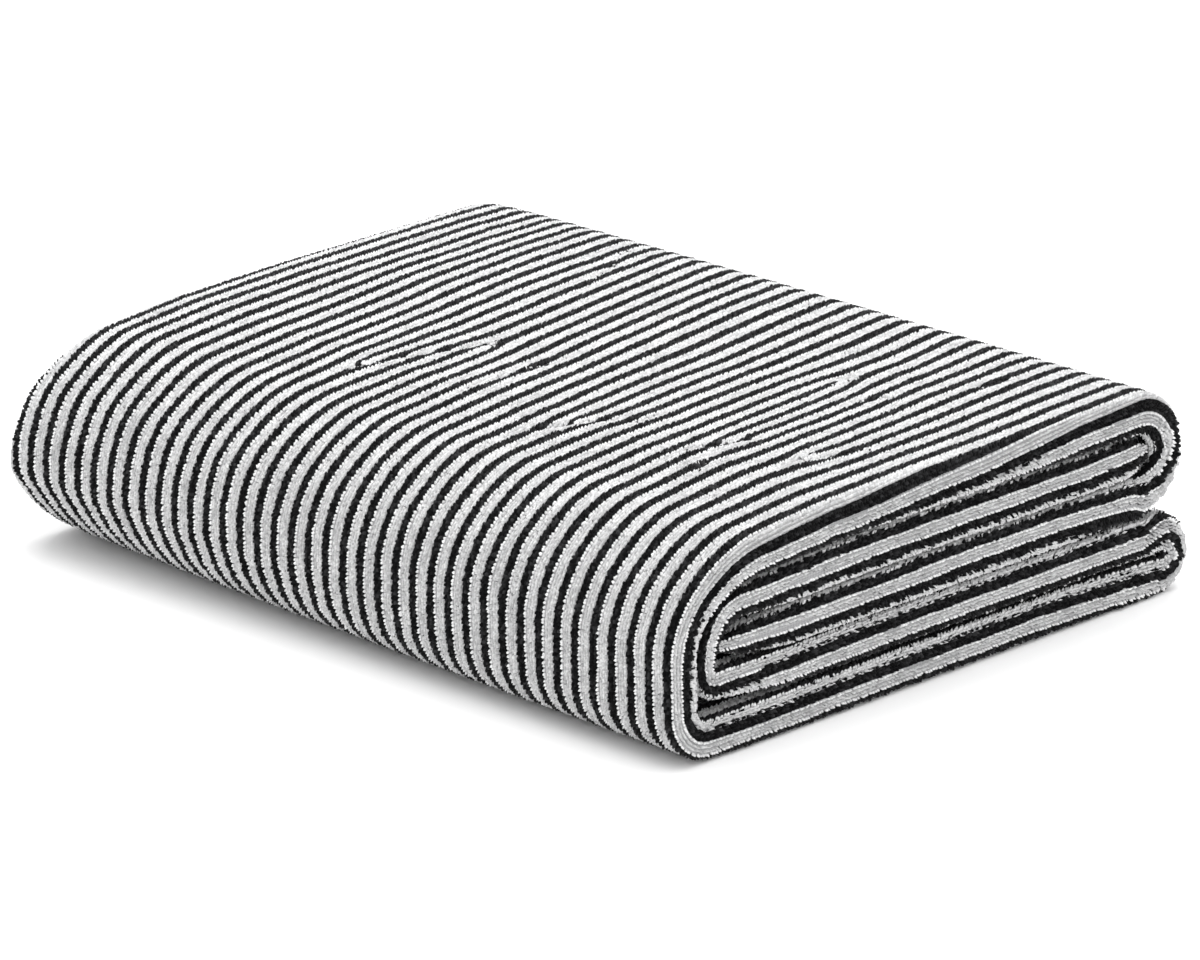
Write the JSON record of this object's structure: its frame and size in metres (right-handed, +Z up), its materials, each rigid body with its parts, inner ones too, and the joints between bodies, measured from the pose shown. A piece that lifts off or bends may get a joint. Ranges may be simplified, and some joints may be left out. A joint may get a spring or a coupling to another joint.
{
  "type": "folded beach towel",
  "caption": "Striped terry beach towel folded in half and then back and forth into a flat, soft stack with rounded folds.",
  "frame": {"origin": "middle of the folded stack's footprint, on the surface it rests on", "axes": "+X along the stripes and the folded sections, from the big rounded fold to the two smaller folds; +Y from the long fold, where every section shows its rounded edge, to the long hems; +Z up"},
  "size_m": [0.3254, 0.4046, 0.0951],
  "materials": {
    "terry": "cotton terry with black and white stripes, loop pile on both sides"
  },
  "bodies": {
    "root": {"towel": "terry"}
  },
  "joints": []
}
